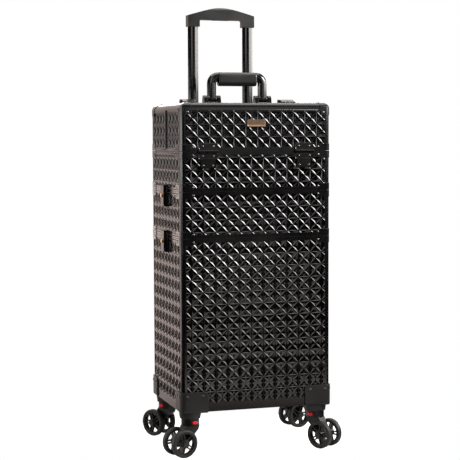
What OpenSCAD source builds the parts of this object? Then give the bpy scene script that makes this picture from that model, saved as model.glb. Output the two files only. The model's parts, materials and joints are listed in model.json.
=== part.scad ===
// Rolling makeup case: three stacked tiers, two half lids, cantilever trays,
// a telescopic trolley handle and four twin-wheel casters.
// Millimetres, +Z up, front at -Y, origin on the floor under the middle of the case.

/* [Case] */
// Width of the case over its metal edges
case_w = 340; // [300:1:380]
// Depth of the case over its metal edges
case_d = 248; // [236:1:280]
// Height of the lower case
lower_h = 375; // [320:1:450]
// Height of the middle tier
middle_h = 100.5; // [80:0.5:130]
// Height of the top case below its lids
top_h = 86; // [70:0.5:110]
// Height of the lids
lid_h = 103.5; // [102:0.5:125]
// Thickness of a wall panel
panel_t = 5; // [4:0.5:6]
// Thickness of a tier's floor panel
floor_t = 4; // [3:0.5:6]
// Where the two lids meet, measured from the middle of the depth
split_y = -9; // [-14:0.5:-6]
// Bend radius where a lid's side turns into its top
lid_r = 17; // [12:1:24]

/* [Metal edges] */
// Thickness of the edge metal
edge_t = 1.5; // [1:0.1:2]
// Width of an upright edge on the front and rear faces
edge_w = 12; // [9:0.5:18]
// Width of an upright edge on the side faces
edge_side_w = 10; // [8:0.5:16]
// Outer radius of the edges
edge_r = 9; // [4:0.5:9.5]
// Height of a seam rail
rail_h = 8; // [6:0.5:10]
// Height of the band along the top of the lids' front and rear faces
lid_band = 17; // [12:0.5:22]
// Height of the band along the bottom of the lower case
foot_band = 18; // [12:0.5:24]
// Gap at each seam
seam_gap = 0.5; // [0.3:0.1:1]
// Height of the tongue that locates the tier above
lip_h = 5; // [3:0.5:7]
// Thickness of the tongue
lip_t = 1.5; // [1:0.1:2]
// Side clearance of the tongue
lip_clear = 0.5; // [0.3:0.1:1]
// Thickness of a corner cap
cap_t = 1; // [0.6:0.1:1.4]
// Width of a corner cap on the front and rear faces
cap_w = 30; // [24:1:36]
// Depth of a corner cap on the side faces
cap_d = 36; // [28:1:44]
// Height of a corner cap
cap_h = 15; // [12:0.5:18]

/* [Corner guards] */
// Thickness of a corner guard
guard_t = 3; // [2:0.5:4]
// Width of a guard on the front or rear face
guard_w = 62; // [50:1:75]
// Depth of a guard on the side face
guard_d = 44; // [36:1:56]
// Height of a guard above the underside of the case
guard_h = 44; // [36:1:56]
// Radius of a screw head
screw_r = 3.5; // [2.5:0.1:4.5]

/* [Casters] */
// Diameter of a wheel
wheel_d = 61; // [50:1:70]
// Width of a wheel
wheel_w = 13; // [10:0.5:16]
// Distance between the middle planes of a caster's two wheels
wheel_pitch = 37; // [33:0.5:44]
// Thickness of a tyre
tyre_t = 5; // [3:0.5:7]
// Distance of the axle behind the stem
trail = 26; // [20:1:34]
// Distance of a stem from the side of the case
stem_inset = 25; // [24:1:40]
// Radius of the stem
stem_r = 6; // [4:0.5:8]
// Radius of the axle
axle_r = 4; // [3:0.5:5]
// Radius of the caster's neck
neck_r = 19.5; // [17:0.5:22]
// Height of the neck
neck_h = 15; // [14:0.5:24]
// Gap between the wheels and the neck
neck_gap = 5; // [3:0.5:8]
// Height of the socket under a corner guard
socket_h = 12.7; // [8:0.1:16]
// Radius of the socket where it meets the case
socket_r = 24.5; // [22:0.5:28]
// Number of double spokes in a wheel
spokes = 5; // [4:1:6]

/* [Caster directions] */
// Direction in which the front left caster trails
swivel_fl = 196; // [0:0.1:360]
// Direction in which the front right caster trails
swivel_fr = 303; // [0:0.1:360]
// Direction in which the rear left caster trails
swivel_rl = 123; // [0:0.1:360]
// Direction in which the rear right caster trails
swivel_rr = 16; // [0:0.1:360]

/* [Trolley handle] */
// Width of a rod
rod_w = 25; // [18:0.5:28]
// Depth of a rod
rod_d = 16; // [11:0.5:18]
// Wall of the rods and their outer tubes
tube_t = 1.5; // [1:0.1:2]
// Gap between the rear of the case and a rod
rod_back = 9; // [8:0.5:12]
// Travel of the handle
stroke = 340; // [280:5:370]
// Height of the grip's crown above the lids
reach = 226; // [200:1:260]
// Rise of an outer tube above the lower case
tube_rise = 84; // [40:1:100]
// Width of the grip
grip_w = 160; // [156:1:190]
// Depth of the grip
grip_d = 22; // [20:0.5:26]
// Fall of the grip from its crown to its ends
grip_arch = 18; // [8:0.5:22]
// Thickness of the grip in the middle
grip_t = 28; // [24:0.5:34]
// Length of the sleeves below the grip's bar
sleeve_h = 16; // [8:0.5:24]

/* [Carry handle] */
// Distance of the carry handle behind the middle of the depth
handle_y = 13; // [12:0.5:30]
// Distance between the middles of the two arms
handle_pitch = 119; // [100:1:150]
// Height of the grip's middle above the lids
handle_rise = 56; // [48:0.5:70]
// Width of an arm
arm_w = 21; // [13:0.5:24]
// Depth of an arm
arm_d = 15; // [12:0.5:18]
// Distance from an arm's middle to the end of the grip sleeve
elbow_w = 15; // [12:0.5:24]
// Height of the grip sleeve
carry_h = 31; // [26:0.5:36]
// Depth of the grip sleeve
carry_d = 22; // [18:0.5:28]

/* [Latches and hinges] */
// Distance of the side latches from the middle of the depth
latch_y = -5; // [-20:1:20]
// Width of a latch lever
lever_w = 24; // [18:0.5:32]
// Height of a latch lever above its seam
lever_over = 13; // [11:0.5:16]
// Distance of a lever's pivot below its seam
lever_drop = 31; // [26:0.5:38]
// Distance of a lid latch's middle from the side of the case
lid_latch_inset = 55; // [40:1:72]
// Gap between a hinge and the corner cap beside it
hinge_gap = 9.5; // [4:0.5:30]
// Width of a hinge
hinge_w = 43; // [34:1:54]
// Height of a hinge leaf
leaf_h = 14; // [11:0.5:18]
// Thickness of hinge leaves and latch plates
leaf_t = 1.5; // [1:0.1:2]

/* [Trays] */
// Height of a tray
tray_h = 32; // [24:0.5:33]
// Wall of a tray
tray_t = 2; // [1.5:0.1:3]
// Length of a link up to the lower tray
link_low = 50; // [46:0.5:52]
// Length of a link up to the upper tray
link_high = 95; // [92:0.5:98]
// Lean of the links when the lids are shut
link_lean = 40; // [36:0.5:44]
// Distance between a tray's two links
link_pitch = 26; // [20:0.5:30]

/* [Name plate] */
// Width of the bare plate on the front lid
plate_w = 40; // [25:1:60]
// Height of the bare plate
plate_h = 15; // [10:0.5:20]
// Distance of the plate's middle below the top of the lid
plate_drop = 43; // [30:1:55]

/* [Hidden] */
$fn = 64;

// Colours
black_panel = "#161616";
black_metal = "#1e1e20";
black_plastic = "#242426";
bare_metal = "#b4b2ae";
gold = "#c9a24a";
red = "#c01a1c";
tyre_grey = "#2c2c2e";
tray_black = "#1a1a1a";

// General clearances
run_clear = 0.05;
slide_clear = 0.3;
web_t = 1.2;
eps = 0.01;

// Levels
swivel_gap = 0.3;
socket_z = wheel_d + neck_gap + neck_h + swivel_gap;
base_z = socket_z + socket_h + guard_t;
seam3 = base_z + lower_h;
seam2 = seam3 + middle_h;
seam1 = seam2 + top_h;
top_z = seam1 + lid_h;

// Planes of the case
front_y = -case_d / 2;
side_x = case_w / 2;
inner = edge_t + panel_t;
lip_out = inner + lip_clear;
lip_in = lip_out + lip_t;
floor_rise = lip_h + 1;
half_gap = seam_gap / 2;
front_lid_d = split_y - front_y - half_gap;
rear_lid_d = -front_y - split_y - half_gap;

// Corner caps
cap_r = 6;
cap_sink = 0.5;
lid_cap_w = 24;
lid_cap_d = 24;
lid_cap_h = 26;
lid_cap_drop = lid_band - 1;
bend_lap = 1;
lid_tab_in = edge_w + 4;

// Corner guards
guard_r = 8;
screw_drop = 10;
screw_end = 12;
screw_t = 1.2;
screw_bevel = 1;

// Casters
axle_z = wheel_d / 2;
wheel_in = (wheel_pitch - wheel_w) / 2;
wheel_out = (wheel_pitch + wheel_w) / 2;
fork_clear = 1.5;
fork_half = wheel_in - fork_clear;
fork_back = 1;
fork_shoulder = 3;
axle_cap_r = axle_r + 2.5;
axle_cap_t = 2;
axle_boss_r = axle_r + 6;
neck_z = wheel_d + neck_gap;
rim_r = wheel_d / 2 - tyre_t;
rim_t = 3;
rim_inset = 1;
hub_r = axle_r + 5;
hub_sink = 2;
spoke_off = 3;
spoke_t = 2.4;
spoke_inset = 3;
tyre_r = 3.5;
tyre_root = 4;
socket_taper = 2;
stem_x = side_x - stem_inset;
stem_y = -front_y - stem_inset;
button_w = 12;
button_h = 6;
button_out = 2.8;
button_in = 4;
button_travel = 2;
button_slack = 0.5;
button_drop = 4;
button_z = neck_z + neck_h - button_drop - button_h - slide_clear;
pocket_deep = button_in + button_travel + button_slack;
pocket_over = 5;
guard_foot_r = 3 * guard_t;

// Trolley
sleeve_wall = 1.5;
rod_pitch = grip_w - rod_w - 2 * sleeve_wall;
rod_x = rod_pitch / 2;
rod_y = -front_y + rod_back + rod_d / 2;
rod_flat = 0.5;
rod_r = rod_d / 2 - rod_flat;
tube_w = rod_w + 2 * (slide_clear + tube_t);
tube_d = rod_d + 2 * (slide_clear + tube_t);
tube_foot = 4;
tube_lift = 14;
tube_z = base_z + tube_lift;
tube_top = seam3 + tube_rise;
rod_foot_gap = 2;
rod_low = tube_z + tube_foot + rod_foot_gap + stroke;
crown_z = top_z + reach;
bar_z = crown_z - grip_t;
sleeve_z = bar_z - sleeve_h;
rod_seat = 6;
socket_top = bar_z + rod_seat;
bracket_h = 26;
bracket_wrap = 1.4;
bracket_flange = 8;
bracket_round = 7;
tie_t = 2.5;
tie_inset = 4;
bracket_space = 10;
lock_w = 44;
lock_d = 12;
lock_h = 11;
lock_r = 5;
lock_out = 0.8;
lock_travel = 3;
lock_slack = 1.5;
grip_r = 8;
hand_r = 4;
crown_r = 25;
crown_steps = 10;

// Carry handle
pivot_up = 12;
eye_r = arm_d / 2;
pin_r = 2.5;
cheek_t = 8;
cheek_gap = arm_w + 2;
cheek_r = 8;
foot_clear = 0.25;
foot_limit = 11.5;
foot_half = min(foot_limit, handle_y - split_y - half_gap - edge_side_w - foot_clear);
arm_r = 4;
core_h = arm_w - 4;
core_d = arm_d - 2;
elbow_flat = 0.5;
elbow_r = min(carry_h, elbow_w + arm_w / 2) - elbow_flat;
carry_r = 9;
arm_top = top_z + handle_rise;
arm_x = handle_pitch / 2;

// Latches
plate_wide = lever_w + 5;
base_len = lever_drop + 7;
plate_clear = 0.4;
ear_t = 2;
latch_pin_r = 1.6;
barrel_r = 4.3;
pivot_x = leaf_t + plate_clear + barrel_r;
tip_r = 3;
ridge_out = leaf_t + 1.7;
ridge_h = 4;
ridge_inset = 2;
tip_clear = 0.7;
tip_x = ridge_out + tip_clear + tip_r;
key_drop = 11;
key_r = 4.5;
key_out = 12.8;
key_in = 7;
keyway = [2, 1, 5];
lid_latch_x = side_x - lid_latch_inset;
lid_lever_r = 4.6;
lid_lever_len = 22;
lid_pivot_up = leaf_t + plate_clear + lid_lever_r;
lid_tip_r = 2.4;
lid_plate_w = 36;
lid_plate_over = 10;
lid_catch_len = 14;
lid_hook_inset = 4;
lid_hook_len = 11;
lid_hook_r = 1.2;
lid_hook_sink = 0.4;

// Hinges
hinge_x = side_x - cap_w - hinge_gap - hinge_w / 2;
barrel_out = 3.6;
knuckle_r = 3.2;
hinge_pin_r = 1.5;
knuckle_end = 12;
knuckle_gap = 0.25;
leaf_clear = 0.4;
leaf_up = knuckle_r + leaf_clear;
tongue_inset = 5.5;
tongue_w = hinge_w - 2 * tongue_inset;
tongue_drop = 4;
tongue_h = leaf_h + tongue_drop;

// Trays and links
wall_x = side_x - inner;
link_t = 2;
link_half_w = 4;
link_out = side_x - lip_in - 1;
link_in = link_out - link_t;
tray_end = link_in - 1.5;
stud_r = 2;
stud_head_r = 3.5;
stud_head_t = 1;
stud_sink = 1;
stud_up = 12;
stud_plate_t = 0.8;
tray_front = front_y + inner + 5.5;
tray_back = split_y - half_gap;
tray_corner = 8;
link_dir = [sin(link_lean), cos(link_lean)];
link_foot_in = 20;
link_foot_drop = 10.5;
pivot_a = [front_y + link_foot_in, seam1 - link_foot_drop];
pivot_b = pivot_a + [link_pitch, 0];

// Flat outlines

module rounded(w, d, r) {
    square([w - 2 * r, d], center = true);
    square([w, d - 2 * r], center = true);
    for (x = [-1, 1], y = [-1, 1])
        translate([x * (w / 2 - r), y * (d / 2 - r)]) circle(r);
}

// A bar with two round ends and straight sides that meet the ends a hair inside their tangents
module bar(p, rp, q, rq) {
    step = q - p;
    turn = atan2(step.y, step.x);
    off = acos((rp - rq) / norm(step));
    left = [cos(turn + off), sin(turn + off)];
    right = [cos(turn - off), sin(turn - off)];
    translate(p) circle(rp);
    translate(q) circle(rq);
    polygon([
        p + (rp - eps) * left, p + (rp - eps) * right,
        q + (rq - eps) * right, q + (rq - eps) * left
    ]);
}

// Outline of the case seen from above, pulled in by an inset
module plan(inset) {
    rounded(case_w - 2 * inset, case_d - 2 * inset, max(edge_r - inset, 1));
}

module plan_ring(outer, inner) {
    difference() {
        plan(outer);
        plan(inner);
    }
}

// Outline of a lid seen from the front, pulled in by an inset, with its foot at height z0
module arch(inset, z0) {
    half = side_x - inset;
    crown = top_z - inset;
    r = max(lid_r - inset, 1);
    translate([-half, z0]) square([2 * half, crown - r - z0]);
    translate([-half + r, z0]) square([2 * (half - r), crown - z0]);
    for (x = [-1, 1])
        translate([x * (half - r), crown - r]) circle(r);
}

// Turns a flat XZ outline into a solid between two depths
module through_y(y0, y1) {
    translate([0, y1, 0]) rotate([90, 0, 0]) linear_extrude(y1 - y0) children();
}

// Turns a flat YZ outline into a solid between two widths
module through_x(x0, x1) {
    translate([x0, 0, 0]) rotate([90, 0, 90]) linear_extrude(x1 - x0) children();
}

module through_z(z0, z1) {
    translate([0, 0, z0]) linear_extrude(z1 - z0) children();
}

module both_sides() {
    children();
    mirror([1, 0, 0]) children();
}

module rear() {
    mirror([0, 1, 0]) children();
}

// Tiers

module tier_panels(z0, z1, rise) {
    low = z0 + web_t;
    difference() {
        through_z(low, z1 - web_t) plan(edge_t);
        through_z(z0 + rise + floor_t, z1 + 1) plan(inner);
        if (rise > web_t) through_z(z0 - 1, z0 + rise) plan(inner);
    }
}

module tier_frame(z0, z1, foot) {
    difference() {
        through_z(z0, z1) plan_ring(0, edge_t);
        translate([-side_x + edge_w, front_y - 1, z0 + foot])
            cube([case_w - 2 * edge_w, case_d + 2, z1 - z0 - foot - rail_h]);
        translate([-side_x - 1, front_y + edge_side_w, z0 + foot])
            cube([case_w + 2, case_d - 2 * edge_side_w, z1 - z0 - foot - rail_h]);
    }
    through_z(z0, z0 + web_t) plan_ring(0, inner);
    through_z(z1 - web_t, z1) plan_ring(0, lip_in);
    through_z(z1 - web_t, z1 + lip_h) plan_ring(lip_out, lip_in);
    four_corners() seam_cap(z1, -1);
    if (foot == rail_h) four_corners() seam_cap(z0, 1);
}

// One flat of a corner cap: its far end is rounded off on the side away from the seam
module cap_flat(length) {
    square([length - cap_r, cap_h]);
    square([length, cap_h - cap_r]);
    translate([length - cap_r, cap_h - cap_r]) circle(cap_r);
}

// A cap bent round the front left corner, above its seam or below it
module seam_cap(z, up) {
    difference() {
        intersection() {
            through_y(front_y - cap_t, front_y + cap_d)
                translate([-side_x - cap_t, z]) mirror([0, up < 0 ? 1 : 0]) cap_flat(cap_w + cap_t);
            through_x(-side_x - cap_t, -side_x + cap_w)
                translate([front_y - cap_t, z]) mirror([0, up < 0 ? 1 : 0]) cap_flat(cap_d + cap_t);
            through_z(z - cap_h, z + cap_h) plan(-cap_t);
        }
        through_z(z - cap_h - 1, z + cap_h + 1) plan(cap_sink);
    }
}

module lower_shell() {
    color(black_panel) tier_panels(base_z, seam3 - half_gap, web_t);
}

module lower_frame() {
    color(black_metal) tier_frame(base_z, seam3 - half_gap, foot_band);
}

module middle_shell() {
    color(black_panel) tier_panels(seam3 + half_gap, seam2 - half_gap, floor_rise);
}

module middle_frame() {
    color(black_metal) tier_frame(seam3 + half_gap, seam2 - half_gap, rail_h);
}

// The top case also carries the fixed studs of the tray links
module top_shell() {
    color(black_panel) {
        tier_panels(seam2 + half_gap, seam1 - half_gap, floor_rise);
        both_sides() {
            case_studs();
            rear() case_studs();
        }
    }
}

module top_frame() {
    color(black_metal) tier_frame(seam2 + half_gap, seam1 - half_gap, rail_h);
}

module case_studs() {
    for (p = [pivot_a, pivot_b])
        translate([0, p.x, p.y]) rotate([0, 90, 0]) {
            translate([0, 0, link_in - slide_clear]) cylinder(r = stud_r, h = wall_x - link_in + slide_clear + 1);
            translate([0, 0, link_in - slide_clear - stud_head_t]) cylinder(r = stud_head_r, h = stud_head_t);
        }
}

// Lids: each is made as a front half of the given depth

// Outer form of a lid pulled in by an inset, from its foot up and back to a given depth
module lid_form(inset, low, back) {
    intersection() {
        through_y(front_y + inset, back) arch(inset, low);
        through_z(low, top_z - inset) plan(inset);
        through_x(-side_x + inset, side_x - inset) lid_nose(inset, low, back);
    }
}

// Side view of a lid with its front top edge rounded
module lid_nose(inset, low, back) {
    near = front_y + inset;
    crown = top_z - inset;
    r = max(edge_r - inset, 1);
    translate([near + r, low]) square([back - near - r, crown - low]);
    translate([near, low]) square([back - near, crown - low - r]);
    translate([near + r, crown - r]) circle(r);
}

module lid_panels(depth) {
    low = seam1 + half_gap + web_t;
    back = front_y + depth - web_t;
    difference() {
        lid_form(edge_t, low, back);
        through_y(front_y + inner, back + 1) arch(inner, low - 1);
    }
}

module lid_frame(depth) {
    low = seam1 + half_gap;
    back = front_y + depth;
    difference() {
        lid_form(0, low, back);
        lid_form(edge_t, low - 1, back + 1);
        translate([-side_x + edge_w, front_y - 1, low + rail_h])
            cube([case_w - 2 * edge_w, edge_t + 2, lid_h - half_gap - rail_h - lid_band]);
        translate([-side_x - 1, front_y + edge_side_w, low + rail_h])
            cube([case_w + 2, depth - 2 * edge_side_w, lid_h - half_gap - rail_h - lid_r - bend_lap]);
        translate([-side_x + lid_r + bend_lap, front_y + edge_side_w, top_z - edge_t - 1])
            cube([case_w - 2 * (lid_r + bend_lap), depth - 2 * edge_side_w, edge_t + 2]);
    }
    intersection() {
        through_z(low, low + web_t) plan_ring(0, inner);
        translate([-side_x, front_y, low]) cube([case_w, depth, web_t]);
    }
    difference() {
        through_y(back - web_t, back) arch(0, low);
        through_y(back - web_t - 1, back + 1) arch(inner, low - 1);
    }
    both_sides() {
        seam_cap(low, 1);
        lid_cap();
    }
}

// The cap over a front top corner of a lid: a band, a leg down the edge and a round riveted tab
module lid_cap() {
    difference() {
        intersection() {
            lid_form(-cap_t, seam1, split_y);
            through_y(front_y - cap_t, front_y + lid_cap_d) {
                translate([-side_x - cap_t, top_z - lid_cap_drop]) square([lid_cap_w + cap_t, lid_cap_drop + cap_t]);
                translate([-side_x - cap_t, top_z - lid_cap_h]) square([edge_w + cap_t, lid_cap_h + cap_t]);
                translate([-side_x + lid_tab_in, top_z - lid_cap_h + cap_r]) circle(cap_r);
            }
        }
        lid_form(cap_sink, seam1 - 1, split_y + 1);
    }
}

module front_lid_shell() {
    color(black_panel) lid_panels(front_lid_d);
}

module front_lid_frame() {
    color(black_metal) lid_frame(front_lid_d);
}

module rear_lid_shell() {
    color(black_panel) rear() lid_panels(rear_lid_d);
}

module rear_lid_frame() {
    color(black_metal) rear() lid_frame(rear_lid_d);
}

module name_plate() {
    color(gold)
        translate([-plate_w / 2, front_y - 0.5, top_z - plate_drop - plate_h / 2])
            cube([plate_w, edge_t + 0.5, plate_h]);
}

// Hinges on the front seam; the rear ones are their mirror image

module knuckle(x0, x1) {
    translate([x0, front_y - barrel_out, seam1]) rotate([0, 90, 0])
        difference() {
            cylinder(r = knuckle_r, h = x1 - x0);
            translate([0, 0, -1]) cylinder(r = hinge_pin_r + run_clear, h = x1 - x0 + 2);
        }
}

// A leaf's plate against the face, its filler in the panel's recess, and its neck to the barrel
module leaf(width, z0, z1, recess0, recess1) {
    translate([-width / 2, front_y - leaf_t, z0]) cube([width, leaf_t, z1 - z0]);
    translate([-width / 2, front_y, recess0]) cube([width, edge_t, recess1 - recess0]);
}

// A neck joins a leaf to its knuckle, from the leaf's edge to the level of the pin
module leaf_neck(x0, x1, z0, z1) {
    difference() {
        translate([x0, front_y - barrel_out, z0]) cube([x1 - x0, barrel_out, z1 - z0]);
        translate([x0 - 1, front_y - barrel_out, seam1]) rotate([0, 90, 0])
            cylinder(r = hinge_pin_r + run_clear, h = x1 - x0 + 2);
    }
}

module case_hinge() {
    half = hinge_w / 2;
    low = seam1 - half_gap - rail_h;
    leaf(hinge_w, seam1 - leaf_up - leaf_h, seam1 - leaf_up, seam1 - leaf_up - leaf_h, low);
    leaf(tongue_w, seam1 - leaf_up - leaf_h - tongue_h, seam1 - leaf_up - leaf_h,
         seam1 - leaf_up - leaf_h - tongue_h, seam1 - leaf_up - leaf_h);
    both_sides() {
        knuckle(half - knuckle_end, half);
        leaf_neck(half - knuckle_end, half, seam1 - leaf_up, seam1 - half_gap);
    }
    translate([-half - 1, front_y - barrel_out, seam1]) rotate([0, 90, 0])
        cylinder(r = hinge_pin_r, h = hinge_w + 2);
}

module lid_hinge() {
    half = hinge_w / 2 - knuckle_end - knuckle_gap;
    leaf(hinge_w, seam1 + leaf_up, seam1 + leaf_up + leaf_h, seam1 + half_gap + rail_h, seam1 + leaf_up + leaf_h);
    knuckle(-half, half);
    leaf_neck(-half, half, seam1 + half_gap, seam1 + leaf_up);
}

module case_hinge_leaves() {
    color(black_metal)
        for (x = [-hinge_x, hinge_x]) translate([x, 0, 0]) {
            case_hinge();
            rear() case_hinge();
        }
}

module front_hinge_leaves() {
    color(black_metal) for (x = [-hinge_x, hinge_x]) translate([x, 0, 0]) lid_hinge();
}

module rear_hinge_leaves() {
    color(black_metal) rear() for (x = [-hinge_x, hinge_x]) translate([x, 0, 0]) lid_hinge();
}

// Side latches on the right-hand face; places are given from the face and the seam

module on_face(z) {
    translate([side_x, latch_y, z]) children();
}

module latch_base(z) {
    on_face(z) {
        translate([0, -plate_wide / 2, -base_len]) cube([leaf_t, plate_wide, base_len - half_gap]);
        translate([-edge_t, -plate_wide / 2, -base_len]) cube([edge_t, plate_wide, base_len - half_gap - rail_h]);
        for (y = [lever_w / 2 + slide_clear, -lever_w / 2 - slide_clear - ear_t])
            through_y(y, y + ear_t) {
                translate([0, -lever_drop - barrel_r]) square([pivot_x, 2 * barrel_r]);
                translate([pivot_x, -lever_drop]) circle(barrel_r);
            }
        translate([pivot_x, 0, -lever_drop]) rotate([90, 0, 0])
            cylinder(r = latch_pin_r, h = lever_w + 2 * slide_clear + ear_t, center = true);
    }
}

module latch_catch(z) {
    on_face(z) {
        translate([0, -plate_wide / 2, half_gap]) cube([leaf_t, plate_wide, lever_over - half_gap]);
        translate([-edge_t, -plate_wide / 2, half_gap + rail_h])
            cube([edge_t, plate_wide, lever_over - half_gap - rail_h]);
        translate([leaf_t, -lever_w / 2 + ridge_inset, lever_over - ridge_inset - ridge_h])
            cube([ridge_out - leaf_t, lever_w - 2 * ridge_inset, ridge_h]);
    }
}

// The lever swings out about its lower end; a brass key cylinder sits in its face
module latch_lever(z) {
    color(black_metal) on_face(z)
        difference() {
            through_y(-lever_w / 2, lever_w / 2)
                bar([pivot_x, -lever_drop], barrel_r, [tip_x, lever_over - tip_r], tip_r);
            translate([pivot_x, 0, -lever_drop]) rotate([90, 0, 0])
                cylinder(r = latch_pin_r + run_clear, h = lever_w + 2, center = true);
            translate([key_in, 0, -key_drop]) rotate([0, 90, 0]) cylinder(r = key_r, h = key_out);
        }
    color(gold) on_face(z)
        difference() {
            translate([key_in, 0, -key_drop]) rotate([0, 90, 0]) cylinder(r = key_r - run_clear, h = key_out - key_in);
            translate([key_out - keyway.x, -keyway.y / 2, -key_drop - keyway.z / 2])
                cube([keyway.x + 1, keyway.y, keyway.z]);
        }
}

module lower_latch_plates() {
    color(black_metal) both_sides() latch_base(seam3);
}

module middle_latch_plates() {
    color(black_metal) both_sides() {
        latch_catch(seam3);
        latch_base(seam2);
    }
}

module top_latch_plates() {
    color(black_metal) both_sides() latch_catch(seam2);
}

module latch_left_upper() { mirror([1, 0, 0]) latch_lever(seam2); }
module latch_left_lower() { mirror([1, 0, 0]) latch_lever(seam3); }
module latch_right_upper() { latch_lever(seam2); }
module latch_right_lower() { latch_lever(seam3); }

// Lid latches: base and lever on the rear lid, catch on the front lid

module at_split(x) {
    translate([x, split_y, top_z]) rear() children();
}

module lid_latch_base(x) {
    long = lid_lever_len + lid_plate_over;
    at_split(x) {
        translate([-lid_plate_w / 2, -long, 0]) cube([lid_plate_w, long - half_gap - slide_clear, leaf_t]);
        translate([-lid_plate_w / 2, -long, -edge_t])
            cube([lid_plate_w, long - half_gap - edge_side_w, edge_t]);
        for (side = [-lid_plate_w / 2, lid_plate_w / 2 - ear_t])
            through_x(side, side + ear_t) {
                translate([-lid_lever_len - lid_lever_r, 0]) square([2 * lid_lever_r, lid_pivot_up]);
                translate([-lid_lever_len, lid_pivot_up]) circle(lid_lever_r);
            }
        translate([0, -lid_lever_len, lid_pivot_up]) rotate([0, 90, 0])
            cylinder(r = latch_pin_r, h = lid_plate_w - ear_t, center = true);
    }
}

module lid_latch_lever(x) {
    half = lid_plate_w / 2 - ear_t - slide_clear;
    color(black_metal) at_split(x)
        difference() {
            through_x(-half, half)
                bar([-lid_lever_len, lid_pivot_up], lid_lever_r,
                    [-lid_tip_r - half_gap - slide_clear, leaf_t + slide_clear + lid_tip_r], lid_tip_r);
            translate([0, -lid_lever_len, lid_pivot_up]) rotate([0, 90, 0])
                cylinder(r = latch_pin_r + run_clear, h = lid_plate_w, center = true);
        }
}

module lid_latch_catch(x) {
    near = half_gap + slide_clear;
    at_split(x) {
        translate([-lid_plate_w / 2, near, 0]) cube([lid_plate_w, lid_catch_len, leaf_t]);
        translate([-lid_plate_w / 2, half_gap + edge_side_w, -edge_t])
            cube([lid_plate_w, lid_catch_len + near - half_gap - edge_side_w, edge_t]);
        through_x(-lid_plate_w / 2 + lid_hook_inset, lid_plate_w / 2 - lid_hook_inset)
            bar([near + lid_tip_r, leaf_t + lid_tip_r - lid_hook_sink], lid_tip_r,
                [near + lid_hook_len, leaf_t], lid_hook_r);
    }
}

module lid_latch_bases() {
    color(black_metal) for (x = [-lid_latch_x, lid_latch_x]) lid_latch_base(x);
}

module lid_latch_catches() {
    color(black_metal) for (x = [-lid_latch_x, lid_latch_x]) lid_latch_catch(x);
}

module lid_latch_lever_left() { lid_latch_lever(-lid_latch_x); }
module lid_latch_lever_right() { lid_latch_lever(lid_latch_x); }

// Carry handle on the rear lid

module handle_brackets() {
    foot = cheek_gap + 2 * cheek_t;
    color(black_plastic)
        for (x = [-arm_x, arm_x]) translate([x, handle_y, top_z]) {
            translate([-foot / 2, -foot_half, -edge_t]) cube([foot, 2 * foot_half, edge_t + web_t]);
            for (side = [-foot / 2, cheek_gap / 2])
                through_x(side, side + cheek_t) {
                    polygon([[-foot_half, 0], [foot_half, 0], [cheek_r, pivot_up], [-cheek_r, pivot_up]]);
                    translate([0, pivot_up]) circle(cheek_r);
                }
            translate([0, 0, pivot_up]) rotate([0, 90, 0])
                cylinder(r = pin_r, h = cheek_gap + cheek_t, center = true);
        }
}

// Front view of one arm: a leg under an elbow as tall as the sleeve, with its outer corner rounded
module arm_outline() {
    low = arm_top - carry_h / 2;
    near = arm_x - elbow_w;
    out = arm_x + arm_w / 2;
    translate([arm_x - arm_w / 2, top_z + pivot_up]) square([arm_w, low + 1 - top_z - pivot_up]);
    translate([near, low]) square([out - near, carry_h - elbow_r]);
    translate([near, low]) square([out - near - elbow_r, carry_h]);
    translate([out - elbow_r, low + carry_h - elbow_r])
        intersection() {
            circle(elbow_r);
            square(elbow_r + 1);
        }
}

// One arm with the eye at its foot and its half of the core inside the sleeve
module handle_arm() {
    through_y(handle_y - arm_d / 2, handle_y + arm_d / 2) arm_outline();
    translate([0, handle_y, arm_top]) rotate([90, 0, 90])
        linear_extrude(arm_x - elbow_w + 1) rounded(core_d, core_h, arm_r);
    translate([arm_x, handle_y, top_z + pivot_up]) rotate([0, 90, 0])
        cylinder(r = eye_r, h = arm_w, center = true);
}

module carry_handle() {
    color(black_metal)
        difference() {
            both_sides() handle_arm();
            for (x = [-arm_x, arm_x])
                translate([x, handle_y, top_z + pivot_up]) rotate([0, 90, 0])
                    cylinder(r = pin_r + run_clear, h = arm_w + 2, center = true);
        }
}

module carry_grip() {
    half = arm_x - elbow_w - run_clear;
    color(black_plastic)
        translate([-half, handle_y, arm_top]) rotate([90, 0, 90])
            linear_extrude(2 * half) difference() {
                rounded(carry_d, carry_h, carry_r);
                rounded(core_d + 2 * run_clear, core_h + 2 * run_clear, arm_r);
            }
}

// Trolley handle behind the case

module rod_section(grow) {
    rounded(rod_w + 2 * grow, rod_d + 2 * grow, rod_r + grow);
}

module trolley_tubes() {
    color(black_metal)
        for (x = [-rod_x, rod_x]) translate([x, rod_y, 0])
            difference() {
                through_z(tube_z, tube_top) rod_section(slide_clear + tube_t);
                through_z(tube_z + tube_foot, tube_top + 1) rod_section(slide_clear);
            }
}

module trolley_bracket(z) {
    wide = tube_w + 2 * bracket_flange;
    deep = rod_y + tube_d / 2 + bracket_wrap + front_y;
    for (x = [-rod_x, rod_x])
        difference() {
            translate([x - wide / 2, -front_y - edge_t, z]) cube([wide, deep + edge_t, bracket_h]);
            translate([x, rod_y, 0]) through_z(z - 1, z + bracket_h + 1) rod_section(slide_clear + tube_t + run_clear);
            for (side = [-1, 1])
                translate([x + side * (wide / 2), -front_y + deep, z - 1])
                    cylinder(r = bracket_round, h = bracket_h + 2);
        }
    translate([-rod_x, -front_y - edge_t, z + tie_inset])
        cube([rod_pitch, edge_t + tie_t, bracket_h - 2 * tie_inset]);
}

module trolley_brackets() {
    color(black_plastic) {
        trolley_bracket(base_z + foot_band + bracket_space);
        trolley_bracket(seam3 - rail_h - bracket_h - bracket_space);
    }
}

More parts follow.
